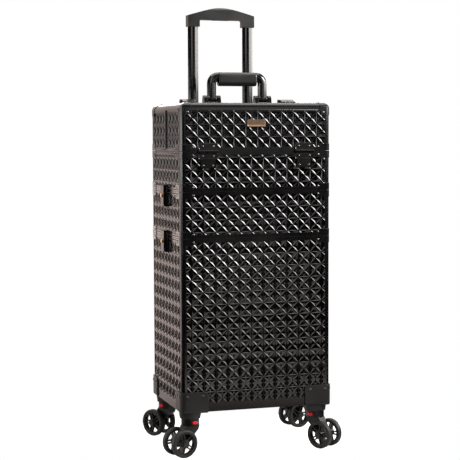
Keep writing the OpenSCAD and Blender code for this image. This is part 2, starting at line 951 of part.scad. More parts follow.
module trolley_rods() {
    color(black_metal)
        for (x = [-rod_x, rod_x]) translate([x, rod_y, 0])
            difference() {
                through_z(rod_low, socket_top - slide_clear) rod_section(0);
                through_z(rod_low - 1, socket_top + 1) rod_section(-tube_t);
            }
}

// Front view of the grip: a bar with sloping shoulders and a rounded crown, on two sleeves
module grip_outline() {
    half = grip_w / 2;
    opening = 2 * (rod_x - sleeve_wall) - rod_w;
    fall = grip_arch / (norm([half, crown_r]) - crown_r);
    difference() {
        polygon(concat(
            [for (k = [-crown_steps : crown_steps])
                let (x = half * k / crown_steps) [x, crown_z - fall * (norm([x, crown_r]) - crown_r)]],
            [[half, sleeve_z], [-half, sleeve_z]]));
        translate([0, sleeve_z]) rounded(opening, 2 * sleeve_h, hand_r);
    }
}

module trolley_grip() {
    color(black_plastic)
        difference() {
            intersection() {
                through_y(rod_y - grip_d / 2, rod_y + grip_d / 2) grip_outline();
                translate([0, rod_y, (sleeve_z + crown_z) / 2 - grip_r])
                    through_x(-grip_w, grip_w) rounded(grip_d, crown_z - sleeve_z + 2 * grip_r, grip_r);
            }
            for (x = [-rod_x, rod_x]) translate([x, rod_y, 0])
                through_z(sleeve_z - 1, socket_top) rod_section(run_clear);
            translate([0, rod_y, 0])
                through_z(bar_z - 1, bar_z + lock_h - lock_out + lock_travel + lock_slack)
                    rounded(lock_w + 2 * slide_clear, lock_d + 2 * slide_clear, lock_r);
        }
}

module grip_button() {
    color(black_plastic)
        translate([0, rod_y, 0]) through_z(bar_z - lock_out, bar_z + lock_h - lock_out)
            rounded(lock_w, lock_d, lock_r);
}

// Corner guards: the front left one is made and mirrored

// One flat of a guard, with its outer corner below and its free corner above rounded
module guard_flat(length) {
    drop = base_z - guard_t;
    r = guard_foot_r;
    translate([0, drop + r]) square([length, guard_h + guard_t - r - guard_r]);
    translate([r, drop]) square([length - r, guard_h + guard_t - guard_r]);
    translate([r, drop + r]) circle(r);
    translate([0, base_z + guard_h - guard_r - 1]) square([length - guard_r, guard_r + 1]);
    translate([length - guard_r, base_z + guard_h - guard_r]) circle(guard_r);
}

module corner_guard() {
    difference() {
        union() {
            intersection() {
                through_y(front_y - guard_t, front_y - guard_t + guard_d)
                    translate([-side_x - guard_t, 0]) guard_flat(guard_w);
                through_x(-side_x - guard_t, -side_x - guard_t + guard_w)
                    translate([front_y - guard_t, 0]) guard_flat(guard_d);
                through_z(base_z - guard_t, base_z + guard_h)
                    rounded(case_w + 2 * guard_t, case_d + 2 * guard_t, edge_r + guard_t);
            }
            translate([-stem_x, -stem_y, socket_z])
                cylinder(r1 = socket_r - socket_taper, r2 = socket_r, h = socket_h + guard_t);
        }
        through_z(base_z, base_z + guard_h + 1) plan(0);
        translate([-stem_x, -stem_y, socket_z - 1])
            cylinder(r = stem_r + run_clear, h = socket_h + guard_t - 1);
    }
}

module screw_head() {
    cylinder(r1 = screw_r, r2 = screw_r - screw_bevel, h = screw_t);
}

module guard_screw_set() {
    z = base_z + guard_h - screw_drop;
    for (x = [edge_w, guard_w - guard_t - screw_end])
        translate([-side_x + x, front_y - guard_t, z]) rotate([90, 0, 0]) screw_head();
    for (y = [edge_side_w, guard_d - guard_t - screw_end])
        translate([-side_x - guard_t, front_y + y, z]) rotate([0, -90, 0]) screw_head();
}

module four_corners() {
    both_sides() {
        children();
        rear() children();
    }
}

module corner_guards() {
    color(black_plastic) four_corners() corner_guard();
}

module guard_screws() {
    color(bare_metal) four_corners() guard_screw_set();
}

// Casters: made at the stem with the trail along +X, then turned to their direction

corners = [[-1, -1], [1, -1], [-1, 1], [1, 1]];
swivels = [swivel_fl, swivel_fr, swivel_rl, swivel_rr];
// Side of the fork on which the release button sits
button_sides = [1, -1, 1, -1];

module at_stem(i) {
    translate([corners[i].x * stem_x, corners[i].y * stem_y, 0]) rotate([0, 0, swivels[i]]) children();
}

module caster_fork(i) {
    side = button_sides[i];
    color(black_plastic) at_stem(i)
        difference() {
            union() {
                translate([0, 0, neck_z]) cylinder(r = neck_r, h = neck_h);
                translate([0, 0, neck_z + neck_h - 1]) cylinder(r = stem_r, h = swivel_gap + socket_h);
                intersection() {
                    through_y(-fork_half, fork_half)
                        bar([trail, axle_z], axle_boss_r, [-fork_back, neck_z], neck_r - fork_shoulder);
                    through_z(0, neck_z + 1) square(2 * (trail + axle_boss_r + neck_r), center = true);
                }
            }
            translate([trail, 0, axle_z]) rotate([90, 0, 0])
                cylinder(r = axle_r + run_clear, h = 2 * fork_half + 2, center = true);
            translate([-button_w / 2 - slide_clear, side > 0 ? neck_r - pocket_deep : -neck_r - pocket_over,
                       button_z - slide_clear])
                cube([button_w + 2 * slide_clear, pocket_deep + pocket_over, button_h + 2 * slide_clear]);
        }
    color(bare_metal) at_stem(i) translate([trail, 0, axle_z]) rotate([90, 0, 0]) {
        cylinder(r = axle_r, h = 2 * wheel_out + 1, center = true);
        for (end = [wheel_out + slide_clear, -wheel_out - slide_clear - axle_cap_t])
            translate([0, 0, end]) cylinder(r = axle_cap_r, h = axle_cap_t);
    }
}

module caster_button(i) {
    side = button_sides[i];
    color(red) at_stem(i)
        intersection() {
            translate([-button_w / 2, side > 0 ? neck_r - button_in : -neck_r - button_out, button_z])
                cube([button_w, button_in + button_out, button_h]);
            cylinder(r = neck_r + button_out, h = 2 * neck_z);
        }
}

// A wheel stands at one side of its fork: side is 1 or -1 along the axle
module wheel(i, side) {
    at_stem(i) translate([trail, side * wheel_pitch / 2, axle_z]) rotate([90, 0, 0]) {
        color(black_plastic)
            difference() {
                union() {
                    cylinder(r = hub_r, h = wheel_w, center = true);
                    difference() {
                        cylinder(r = rim_r - run_clear, h = wheel_w - 2 * rim_inset, center = true);
                        cylinder(r = rim_r - rim_t, h = wheel_w, center = true);
                    }
                    for (k = [0 : spokes - 1], off = [-spoke_off, spoke_off])
                        rotate([0, 0, k * 360 / spokes])
                            translate([hub_r - hub_sink, off - spoke_t / 2, -wheel_w / 2 + spoke_inset])
                                cube([rim_r - hub_r, spoke_t, wheel_w - 2 * spoke_inset]);
                }
                cylinder(r = axle_r + run_clear, h = wheel_w + 2, center = true);
            }
        color(tyre_grey)
            rotate_extrude()
                difference() {
                    translate([rim_r + (tyre_t - tyre_root) / 2, 0]) rounded(tyre_t + tyre_root, wheel_w, tyre_r);
                    translate([0, -wheel_w]) square([rim_r, 2 * wheel_w]);
                }
    }
}

// Cantilever trays: made for the front half

module link_stud(p, length) {
    q = p + length * link_dir;
    both_sides() translate([0, q.x, q.y]) rotate([0, 90, 0]) {
        translate([0, 0, tray_end - stud_sink])
            cylinder(r = stud_r, h = link_out + slide_clear - tray_end + stud_sink + stud_head_t / 2);
        translate([0, 0, link_out + slide_clear]) cylinder(r = stud_head_r, h = stud_head_t);
    }
}

module tray(length) {
    z0 = (pivot_a + length * link_dir).y - stud_up;
    deep = tray_back - tray_front;
    middle = (tray_front + tray_back) / 2;
    color(tray_black) {
        translate([0, middle, 0])
            difference() {
                through_z(z0, z0 + tray_h) rounded(2 * tray_end, deep, tray_corner);
                through_z(z0 + tray_t, z0 + tray_h + 1)
                    rounded(2 * (tray_end - tray_t), deep - 2 * tray_t, tray_corner - tray_t);
            }
        link_stud(pivot_a, length);
        link_stud(pivot_b, length);
        both_sides() through_x(tray_end - tray_t, tray_end + stud_plate_t)
            bar(pivot_a + length * link_dir, link_half_w, pivot_b + length * link_dir, link_half_w);
    }
}

module link_pair(p) {
    color(bare_metal) both_sides()
        difference() {
            through_x(link_in, link_out) bar(p, link_half_w, p + link_high * link_dir, link_half_w);
            for (length = [0, link_low, link_high]) {
                q = p + length * link_dir;
                translate([link_in - 1, q.x, q.y]) rotate([0, 90, 0])
                    cylinder(r = stud_r + run_clear, h = link_t + 2);
            }
        }
}

module front_link_a() { link_pair(pivot_a); }
module front_link_b() { link_pair(pivot_b); }
module front_lower_tray() { tray(link_low); }
module front_upper_tray() { tray(link_high); }
module rear_link_a() { rear() link_pair(pivot_a); }
module rear_link_b() { rear() link_pair(pivot_b); }
module rear_lower_tray() { rear() tray(link_low); }
module rear_upper_tray() { rear() tray(link_high); }

lower_shell();
lower_frame();
corner_guards();
guard_screws();
trolley_tubes();
trolley_brackets();
lower_latch_plates();
trolley_rods();
trolley_grip();
grip_button();
middle_shell();
middle_frame();
middle_latch_plates();
top_shell();
top_frame();
top_latch_plates();
case_hinge_leaves();
front_lid_shell();
front_lid_frame();
front_hinge_leaves();
name_plate();
lid_latch_bases();
lid_latch_lever_left();
lid_latch_lever_right();
rear_lid_shell();
rear_lid_frame();
rear_hinge_leaves();
handle_brackets();
lid_latch_catches();
carry_handle();
carry_grip();
latch_left_upper();
latch_left_lower();
latch_right_upper();
latch_right_lower();
front_link_a();
front_link_b();
front_lower_tray();
front_upper_tray();
rear_link_a();
rear_link_b();
rear_lower_tray();
rear_upper_tray();
caster_fork(0);  // caster_fork_fl
caster_fork(1);  // caster_fork_fr
caster_fork(2);  // caster_fork_rl
caster_fork(3);  // caster_fork_rr
caster_button(0);  // caster_button_fl
caster_button(1);  // caster_button_fr
caster_button(2);  // caster_button_rl
caster_button(3);  // caster_button_rr
wheel(0, 1);  // wheel_fl_left
wheel(0, -1);  // wheel_fl_right
wheel(1, 1);  // wheel_fr_left
wheel(1, -1);  // wheel_fr_right
wheel(2, 1);  // wheel_rl_left
wheel(2, -1);  // wheel_rl_right
wheel(3, 1);  // wheel_rr_left
wheel(3, -1);  // wheel_rr_right
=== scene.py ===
import json
import math

import bmesh
import bpy
from mathutils import Matrix, Vector


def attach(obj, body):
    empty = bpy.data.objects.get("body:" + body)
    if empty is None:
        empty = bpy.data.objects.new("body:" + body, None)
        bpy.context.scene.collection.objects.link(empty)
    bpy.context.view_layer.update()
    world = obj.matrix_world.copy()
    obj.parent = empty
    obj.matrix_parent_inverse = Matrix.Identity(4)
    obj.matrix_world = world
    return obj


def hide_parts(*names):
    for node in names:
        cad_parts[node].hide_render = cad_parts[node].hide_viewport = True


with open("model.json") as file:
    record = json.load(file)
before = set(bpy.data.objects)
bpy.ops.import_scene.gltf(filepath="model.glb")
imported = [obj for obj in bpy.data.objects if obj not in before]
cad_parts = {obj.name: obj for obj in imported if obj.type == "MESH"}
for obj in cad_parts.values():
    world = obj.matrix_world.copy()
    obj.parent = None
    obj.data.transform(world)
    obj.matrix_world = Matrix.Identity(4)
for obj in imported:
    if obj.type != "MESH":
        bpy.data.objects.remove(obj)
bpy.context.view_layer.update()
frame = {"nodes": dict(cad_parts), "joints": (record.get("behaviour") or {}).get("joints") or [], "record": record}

# Box walls and floors: 5 mm boards glued into five open boxes, lined inside with black flock. They
# keep their CAD solids; only the lining shows once the embossed sheets and the frames are on.
mm = 0.001
body_of = {n: b for b, members in frame["record"]["behaviour"]["bodies"].items() for n in members}
slot_of = {s["node"]: s["material_slot"] for s in frame["record"]["subparts"]}


def noise(nodes, scale, detail):
    """Noise texture of a given scale and detail."""
    texture = nodes.new("ShaderNodeTexNoise")
    texture.inputs["Scale"].default_value = scale
    texture.inputs["Detail"].default_value = detail
    return texture


def spread(nodes, links, value, start, stop, low, high, kind="LINEAR"):
    """Carries a value from the range start to stop over to the range low to high."""
    node = nodes.new("ShaderNodeMapRange")
    node.interpolation_type = kind
    for name, number in (("From Min", start), ("From Max", stop), ("To Min", low), ("To Max", high)):
        node.inputs[name].default_value = number
    links.new(value, node.inputs["Value"])
    return node.outputs["Result"]


def finish(name, dark, light, grain, rough, relief, metal=0.0, stretch=(1.0, 1.0, 1.0), shine=0.5):
    """Surface with a fine grain in colour and height, and broad smudges in its gloss."""
    material = bpy.data.materials.new(name)
    material.use_nodes = True
    nodes, links = material.node_tree.nodes, material.node_tree.links
    shader = nodes["Principled BSDF"]
    shader.inputs["Metallic"].default_value = metal
    shader.inputs["Specular IOR Level"].default_value = shine
    where = nodes.new("ShaderNodeTexCoord")
    draw = nodes.new("ShaderNodeMapping")
    draw.inputs["Scale"].default_value = stretch
    links.new(where.outputs["Object"], draw.inputs["Vector"])
    fine = noise(nodes, scale=grain, detail=4.0)
    links.new(draw.outputs["Vector"], fine.inputs["Vector"])
    smudge = noise(nodes, scale=16.0, detail=3.0)
    links.new(where.outputs["Object"], smudge.inputs["Vector"])
    tint = nodes.new("ShaderNodeValToRGB")
    for stop, place, colour in zip(tint.color_ramp.elements, (0.36, 0.68), (dark, light)):
        stop.position, stop.color = place, (*colour, 1.0)
    links.new(fine.outputs["Fac"], tint.inputs["Fac"])
    links.new(tint.outputs["Color"], shader.inputs["Base Color"])
    gloss = spread(nodes, links, smudge.outputs["Fac"], 0.35, 0.65, *rough)
    links.new(gloss, shader.inputs["Roughness"])
    grainy = nodes.new("ShaderNodeBump")
    grainy.inputs["Distance"].default_value = relief * mm
    links.new(fine.outputs["Fac"], grainy.inputs["Height"])
    links.new(grainy.outputs["Normal"], shader.inputs["Normal"])
    return material


def grey(shade):
    """Neutral colour of one shade."""
    return (shade, shade, shade)


black_flock = finish("black_flock", grey(0.008), (0.02, 0.02, 0.021), 1500.0, (0.8, 0.95), 0.12)
for shell in ("lower_shell", "middle_shell", "top_shell", "front_lid_shell", "rear_lid_shell"):
    for slot in frame["nodes"][shell].material_slots:
        slot.material = black_flock

# Embossed sheets: glossy black plastic sheet pressed into a quilt of eight-rayed stars, glued to the
# boards inside the frames. Each square of the quilt has four three-sided pits, and the flanks of its
# slanting rays swell to a spindle between their crossings.
pitch = 27.0 * mm
ridge, crest_width = 0.4 * mm, 0.25 * mm
sheet_back = -1.48 * mm
straight_flank, widest_at = 1.5 * mm, 0.6
shallow, steep = (-0.9 * mm, 2.6 * mm), (-1.15 * mm, 2.2 * mm)
hair = 0.03 * mm


def round_edges(bm, edges, width, segments):
    """Takes edges back to a round of the given width."""
    bmesh.ops.bevel(bm, geom=edges, offset=width, offset_type="OFFSET", segments=segments, profile=0.5,
                    affect="EDGES", material=-1, clamp_overlap=True)


def embossed_sheet(u0, u1, v0, v1, star_u, star_v, pit_floor, slant_flank):
    """Flat sheet in its own u, v and height, with a star at (star_u, star_v) and cut to the window."""
    k0, k1 = math.floor((u0 - star_u) / pitch), math.ceil((u1 - star_u) / pitch)
    m0, m1 = math.floor((v0 - star_v) / pitch), math.ceil((v1 - star_v) / pitch)
    bm = bmesh.new()
    bmesh.ops.create_grid(bm, x_segments=k1 - k0, y_segments=m1 - m0, size=0.5)
    bmesh.ops.scale(bm, vec=((k1 - k0) * pitch, (m1 - m0) * pitch, 1.0), verts=bm.verts)
    centre = (star_u + (k0 + k1) / 2 * pitch, star_v + (m0 + m1) / 2 * pitch, ridge)
    bmesh.ops.translate(bm, verts=bm.verts, vec=centre)
    bmesh.ops.poke(bm, faces=bm.faces[:], offset=0.0, center_mode="MEAN")
    rays, pits = [e for e in bm.edges if not e.is_boundary], bm.faces[:]
    for pit in pits:
        square = max(pit.loops, key=lambda corner: corner.calc_angle()).vert
        ends = [v for v in pit.verts if v is not square]
        middle = (ends[0].co + ends[1].co) / 2
        floor = [middle + (square.co - middle).normalized() * straight_flank]
        for end, other in (ends, ends[::-1]):
            away = (other.co - square.co).normalized()
            floor.append(end.co.lerp(square.co, widest_at) + away * slant_flank)
        base, left, right = [bm.verts.new((spot.x, spot.y, pit_floor)) for spot in floor]
        for corners in ((ends[0], square, left), (ends[1], square, right), (ends[0], ends[1], base),
                        (square, left, right), (ends[0], left, base), (ends[1], right, base),
                        (left, right, base)):
            bm.faces.new(corners)
    bmesh.ops.delete(bm, geom=pits, context="FACES_ONLY")
    bmesh.ops.recalc_face_normals(bm, faces=bm.faces)
    round_edges(bm, rays, crest_width, 1)
    for spot, way in (((u0, 0, 0), (-1, 0, 0)), ((u1, 0, 0), (1, 0, 0)),
                      ((0, v0, 0), (0, -1, 0)), ((0, v1, 0), (0, 1, 0))):
        bmesh.ops.bisect_plane(bm, geom=bm.verts[:] + bm.edges[:] + bm.faces[:], dist=1e-7,
                               plane_co=spot, plane_no=way, clear_outer=True)
    rim = bmesh.ops.extrude_edge_only(bm, edges=[e for e in bm.edges if e.is_boundary])["geom"]
    for v in rim:
        if isinstance(v, bmesh.types.BMVert):
            v.co.z = sheet_back
    bmesh.ops.contextual_create(bm, geom=[e for e in bm.edges if e.is_boundary])
    bmesh.ops.recalc_face_normals(bm, faces=bm.faces)
    return bm


def mesh_of(name, bm, crease=None):
    """Turns a bmesh into a mesh, shaded smooth up to a crease angle in degrees where one is given."""
    mesh = bpy.data.meshes.new(name)
    bm.to_mesh(mesh)
    bm.free()
    if crease is not None:
        mesh.shade_smooth()
        mesh.set_sharp_from_angle(angle=math.radians(crease))
    return mesh


def gather(name, parts):
    """Joins several bmeshes into one mesh."""
    whole = bmesh.new()
    for part in parts:
        mesh = mesh_of("part", part)
        whole.from_mesh(mesh)
        bpy.data.meshes.remove(mesh)
    return mesh_of(name, whole)


def show(name, mesh, body, slot, *materials):
    """Puts a finished mesh into the scene on its body."""
    for material in materials:
        mesh.materials.append(material)
    piece = bpy.data.objects.new(name, mesh)
    bpy.context.scene.collection.objects.link(piece)
    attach(piece, body)
    return piece


black_lacquer = finish("black_lacquer", (0.0006, 0.0005, 0.0005), (0.0014, 0.0012, 0.0012), 700.0,
                       (0.1, 0.16), 0.004)
face_x, face_y, crown_z = 170.0 * mm, 124.0 * mm, 762.0 * mm
on_front = Matrix(((1, 0, 0, 0), (0, 0, -1, -face_y), (0, 1, 0, 0), (0, 0, 0, 1)))
on_rear = Matrix(((-1, 0, 0, 0), (0, 0, 1, face_y), (0, 1, 0, 0), (0, 0, 0, 1)))
on_left = Matrix(((0, 0, -1, -face_x), (-1, 0, 0, 0), (0, 1, 0, 0), (0, 0, 0, 1)))
on_right = Matrix(((0, 0, 1, face_x), (1, 0, 0, 0), (0, 1, 0, 0), (0, 0, 0, 1)))
on_top = Matrix.Translation((0, 0, crown_z))

# Each tier's window lies between the rails of the seams below and above it, in millimetres.
seam_low, seam_mid, seam_lid = 472.0, 572.5, 658.5
rail_half, foot_rail_top = 8.25, 115.0
tiers = (("lower_case", None, seam_low),
         ("middle_tier", seam_low, seam_mid),
         ("top_case", seam_mid, seam_lid))
wide, deep = 158.0 * mm - hair, 114.0 * mm - hair
star_at = {"lower_case": (15.0, 4.5), "middle_tier": (16.2, 25.4), "top_case": (16.5, 24.5)}
for body, below, above in tiers:
    low = (below + rail_half if below else foot_rail_top) * mm + hair
    high = (above - rail_half) * mm - hair
    star_x, star_z = star_at[body]
    sheets = []
    for half, place in ((wide, on_front), (wide, on_rear), (deep, on_left), (deep, on_right)):
        star, depth = (star_x * mm, shallow) if half == wide else (0.0, steep)
        sheet = embossed_sheet(-half, half, low, high, star, star_z * mm, *depth)
        bmesh.ops.transform(sheet, matrix=place, verts=sheet.verts)
        sheets.append(sheet)
    name = body.split("_")[0] + "_embossed_sheets"
    show(name, gather(name, sheets), body, "panel_black", black_lacquer)

lid_low, lid_end, lid_side_top = (seam_lid + rail_half) * mm + hair, 745.0 * mm - hair, 744.0 * mm - hair
crown_half = 152.0 * mm - hair
lid_star_x, lid_star_z = 4.0 * mm, 14.0 * mm
for body, y0, y1, place in (("front_lid", -114.0, -19.25, on_front), ("rear_lid", 1.25, 114.0, on_rear)):
    near, far = y0 * mm + hair, y1 * mm - hair
    sheets = []
    for u0, u1, v0, v1, star, depth, turned in (
            (-wide, wide, lid_low, lid_end, lid_star_x, shallow, place),
            (-far, -near, lid_low, lid_side_top, 0.0, steep, on_left),
            (near, far, lid_low, lid_side_top, 0.0, steep, on_right),
            (-crown_half, crown_half, near, far, 0.0, shallow, on_top)):
        sheet = embossed_sheet(u0, u1, v0, v1, star, lid_star_z, *depth)
        if turned is on_rear:
            # The back of the rear lid lies flush, so that it clears the trolley grip.
            pressed = [v for v in sheet.verts if v.co.z > sheet_back + hair]
            bmesh.ops.translate(sheet, vec=(0, 0, -ridge), verts=pressed)
        bmesh.ops.transform(sheet, matrix=turned, verts=sheet.verts)
        sheets.append(sheet)
    name = body + "_embossed_sheets"
    show(name, gather(name, sheets), body, "panel_black", black_lacquer)

# Edge frames: black anodised aluminium angle round every tier and lid, with beaded rails at the seams,
# a closing strip at the lid split and a pressed cap riveted over each corner. The edges are broken by
# the tumbling before anodising.
flat_angle, edge_angle, weld = math.radians(0.8), math.radians(32.0), 0.005 * mm


def merged_copy(node, name, join_flats):
    """Copy of a CAD solid's mesh with its corners merged and, where asked, its flats joined."""
    bm = bmesh.new()
    bm.from_mesh(frame["nodes"][node].data)
    bmesh.ops.remove_doubles(bm, verts=bm.verts, dist=weld)
    if join_flats:
        bmesh.ops.dissolve_limit(bm, angle_limit=flat_angle, verts=bm.verts, edges=bm.edges)
    mesh = mesh_of(name, bm)
    if "custom_normal" in mesh.attributes:
        mesh.attributes.remove(mesh.attributes["custom_normal"])
    mesh.materials.clear()
    mesh.shade_smooth()
    return mesh


def softened(node, name, soften, materials, segments=2, pick=None):
    """Copy of a CAD solid with its edges rounded, standing for the solid; pick chooses face materials."""
    mesh = merged_copy(node, name, True)
    mesh.set_sharp_from_angle(angle=edge_angle)
    for face in mesh.polygons:
        face.material_index = pick([mesh.vertices[i].co for i in face.vertices]) if pick else 0
    piece = show(name, mesh, body_of[node], slot_of[node], *materials)
    round_off = piece.modifiers.new("soft_edges", "BEVEL")
    round_off.width, round_off.segments, round_off.profile = soften * mm, segments, 0.5
    round_off.limit_method, round_off.angle_limit = "ANGLE", edge_angle
    round_off.harden_normals = True
    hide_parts(node)
    return piece


black_anodised = finish("black_anodised", (0.0015, 0.0014, 0.0015), (0.003, 0.0028, 0.003), 900.0,
                        (0.16, 0.24), 0.006, stretch=(1.0, 1.0, 0.2), shine=0.6)
for tier in ("lower", "middle", "top", "front_lid", "rear_lid"):
    softened(tier + "_frame", tier + "_edge_metal", 0.8, [black_anodised])

bead_radius, bead_gap, bead_x, bead_end = 1.2 * mm, 4.3, 170.2, 112.0
all_smooth = 180.0


def rolled_beads(body, runs):
    """Half-sunk round bars with rounded ends, each run from one point to another."""
    bm = bmesh.new()
    for start, stop in runs:
        start, stop = Vector(start) * mm, Vector(stop) * mm
        along = (stop - start).normalized()
        turn = Vector((0, 0, 1)).rotation_difference(along).to_matrix().to_4x4()
        ball = bmesh.ops.create_uvsphere(bm, u_segments=10, v_segments=8, radius=bead_radius, matrix=turn)
        for v in ball["verts"]:
            v.co += stop if v.co.dot(along) > 0 else start
    name = body + "_rail_beads"
    return show(name, mesh_of(name, bm, all_smooth), body, "edge_black", black_anodised)


def levels(below, above, gap):
    """Heights in a tier at one gap from its seams."""
    return [below + gap, above - gap] if below else [above - gap]


for body, below, above in tiers:
    heights = levels(below, above, bead_gap)
    rolled_beads(body, [((x, -bead_end, z), (x, bead_end, z)) for z in heights for x in (-bead_x, bead_x)])
lid_bead_half, lid_bead_z = 143.0, 747.2
for body, y, y0, y1 in (("front_lid", -123.7, -bead_end, -14.0), ("rear_lid", 123.7, 0.0, bead_end)):
    z = seam_lid + bead_gap
    runs = [((x, y0, z), (x, y1, z)) for x in (-bead_x, bead_x)]
    rolled_beads(body, runs + [((-lid_bead_half, y, lid_bead_z), (lid_bead_half, y, lid_bead_z))])


def block(bm, centre, size):
    """Box of a given centre and size in millimetres."""
    bmesh.ops.create_cube(bm, size=1.0, matrix=Matrix.Translation(Vector(centre) * mm)
                          @ Matrix.Diagonal((*(Vector(size) * mm), 1.0)))


strip_x, strip_y, strip_z, strip_size = 171.0, -5.9, 706.0, (3.0, 5.4, 84.0)
strips = bmesh.new()
for x in (-strip_x, strip_x):
    block(strips, (x, strip_y, strip_z), strip_size)
round_edges(strips, strips.edges[:], 0.6 * mm, 2)
show("lid_closing_strips", mesh_of("lid_closing_strips", strips), "rear_lid", "edge_black", black_anodised)

dark_nickel = finish("dark_nickel", grey(0.1), (0.2, 0.195, 0.19), 1200.0, (0.18, 0.3), 0.004, metal=1.0)


def rivets(name, body, slot, spots, radius, height):
    """Domed rivet heads, each set at a point with its head facing out."""
    bm = bmesh.new()
    for point, out in spots:
        tilt = Vector((0, 0, 1)).rotation_difference(Vector(out)).to_matrix().to_4x4()
        dome = Matrix.Diagonal((radius * mm, radius * mm, height * mm, 1.0))
        bmesh.ops.create_uvsphere(bm, u_segments=12, v_segments=7, radius=1.0,
                                  matrix=Matrix.Translation(Vector(point) * mm) @ tilt @ dome)
    return show(name, mesh_of(name, bm, all_smooth), body, slot, dark_nickel)


cap_gap, cap_x, cap_y = 8.5, 142.0, 97.0
lid_front_x, lid_front_z, lid_top_x, lid_side_y, lid_side_z = 154.0, 742.0, 149.5, 106.0, 741.0
head_x, head_y, head_z = 171.0, 125.0, 763.0


def cap_rivets(body, spots):
    """Rivets of the corner caps."""
    rivets(body + "_cap_rivets", body, "edge_black", spots, 2.9, 1.0)


def seam_spots(x, y, z):
    """The two rivets of a seam cap, one on the front or rear and one on the side."""
    return [((x * cap_x, y * head_y, z), (0, y, 0)), ((x * head_x, y * cap_y, z), (x, 0, 0))]


for body, below, above in tiers:
    spots = []
    for z in levels(below, above, cap_gap):
        for x in (-1, 1):
            for y in (-1, 1):
                spots += seam_spots(x, y, z)
    cap_rivets(body, spots)
for body, y in (("front_lid", -1), ("rear_lid", 1)):
    spots = []
    for x in (-1, 1):
        spots += seam_spots(x, y, seam_lid + cap_gap)
        spots += [((x * lid_front_x, y * head_y, lid_front_z), (0, y, 0)),
                  ((x * lid_top_x, y * lid_side_y, head_z), (0, 0, 1)),
                  ((x * head_x, y * lid_side_y, lid_side_z), (x, 0, 0))]
    cap_rivets(body, spots)

# Lid hinges: pressed steel leaves with rolled knuckles on a steel pin, painted black; each leaf has
# a raised rim and two rivets, and the lower leaf a tongue riveted to the panel.
black_paint = finish("black_paint", grey(0.0015), grey(0.003), 1300.0, (0.26, 0.36), 0.01, shine=0.3)
for node in ("case_hinge_leaves", "front_hinge_leaves", "rear_hinge_leaves"):
    softened(node, node + "_pressed", 0.35, [black_paint])
hinge_x, leaf_y, leaf_gap = 109.0, 125.5, 10.6
rim_size, rim_corner, rim_border, rim_dish, rim_crest = (43.0, 2.0, 14.0), 3.2, 2.6, 1.2, 1.1
rim_lift = 0.4


def raised_rim(x, z, out):
    """Shallow dished plate with round corners, on the front for out -1 and on the rear for out 1."""
    bm = bmesh.new()
    block(bm, (x, out * (leaf_y + rim_lift), z), rim_size)
    corners = [e for e in bm.edges if abs(e.verts[0].co.y - e.verts[1].co.y) > mm]
    round_edges(bm, corners, rim_corner * mm, 4)
    face = max(bm.faces, key=lambda f: f.normal.y * out)
    bmesh.ops.inset_region(bm, faces=[face], thickness=rim_border * mm, use_even_offset=True)
    bmesh.ops.translate(bm, verts=face.verts, vec=(0, -out * rim_dish * mm, 0))
    top = leaf_y + rim_lift + rim_size[1] / 2 - 0.1
    crest = [e for e in bm.edges if all(v.co.y * out > top * mm for v in e.verts)
             and e.calc_face_angle(0.0) > 0.6]
    round_edges(bm, crest, rim_crest * mm, 3)
    bmesh.ops.recalc_face_normals(bm, faces=bm.faces)
    return bm


leaf_rivet, tongue_rivet, tongue_drop = 12.0, 10.5, 30.5
for body, out, side in (("top_case", -1, -1), ("top_case", 1, -1), ("front_lid", -1, 1), ("rear_lid", 1, 1)):
    z = seam_lid + side * leaf_gap
    rims = [raised_rim(x, z, out) for x in (-hinge_x, hinge_x)]
    rows = [(leaf_rivet, z)]
    if body == "top_case":
        rows.append((tongue_rivet, seam_lid - tongue_drop))
    spots = [((x + dx, out * leaf_y, level), (0, out, 0))
             for reach, level in rows for x in (-hinge_x, hinge_x) for dx in (-reach, reach)]
    name = "%s_%s_hinge" % (body, "front" if out < 0 else "rear")
    show(name + "_rims", gather(name + "_rims", rims), body, "edge_black", black_anodised)
    rivets(name + "_rivets", body, "edge_black", spots, 2.5, 1.2)

# Name plate: pressed brass plate riveted through the lid and left bare; its face is sunk a little
# inside a turned edge and leans over a wider lip along its foot.
polished_brass = finish("polished_brass", (0.58, 0.37, 0.24), (0.74, 0.5, 0.34), 420.0, (0.24, 0.34), 0.006,
                        metal=1.0, stretch=(0.15, 1.0, 1.0))
plate_y, plate_z, plate_size = -124.4, 719.0, (40.0, 3.8, 15.0)
plate_edge, plate_sink, lip_lean = 1.0, 0.3, Vector((0, 0.75, 1.9))
plate = bmesh.new()
block(plate, (0, plate_y, plate_z), plate_size)
front = [f for f in plate.faces if f.normal.y < -0.9]
bmesh.ops.inset_region(plate, faces=front, thickness=plate_edge * mm, use_even_offset=True)
bmesh.ops.translate(plate, verts=front[0].verts, vec=(0, plate_sink * mm, 0))
for v in front[0].verts:
    if v.co.z < plate_z * mm:
        v.co += lip_lean * mm
round_edges(plate, plate.edges[:], 0.25 * mm, 2)
bare_plate = show("bare_name_plate", mesh_of("bare_name_plate", plate), "front_lid", "plate_gold",
                  polished_brass)
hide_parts("name_plate")

# Side latches: die-cast levers that swing out from the seam, with a brass key barrel in each, and
# pressed base plates and catches screwed to the tiers.
for node in ("lower_latch_plates", "middle_latch_plates", "top_latch_plates"):
    softened(node, node + "_pressed", 0.4, [black_paint])


def ring_faces(centre, along, inner=-1.0, outer=1.0, clear=-1.0):
    """Picks material 1 for faces that lie between two radii round an axis and clear of its middle."""
    def pick(corners):
        steps = [c - centre for c in corners]
        around = all(inner < (s - along * s.dot(along)).length < outer for s in steps)
        return int(around and all(abs(s.dot(along)) > clear for s in steps))
    return pick


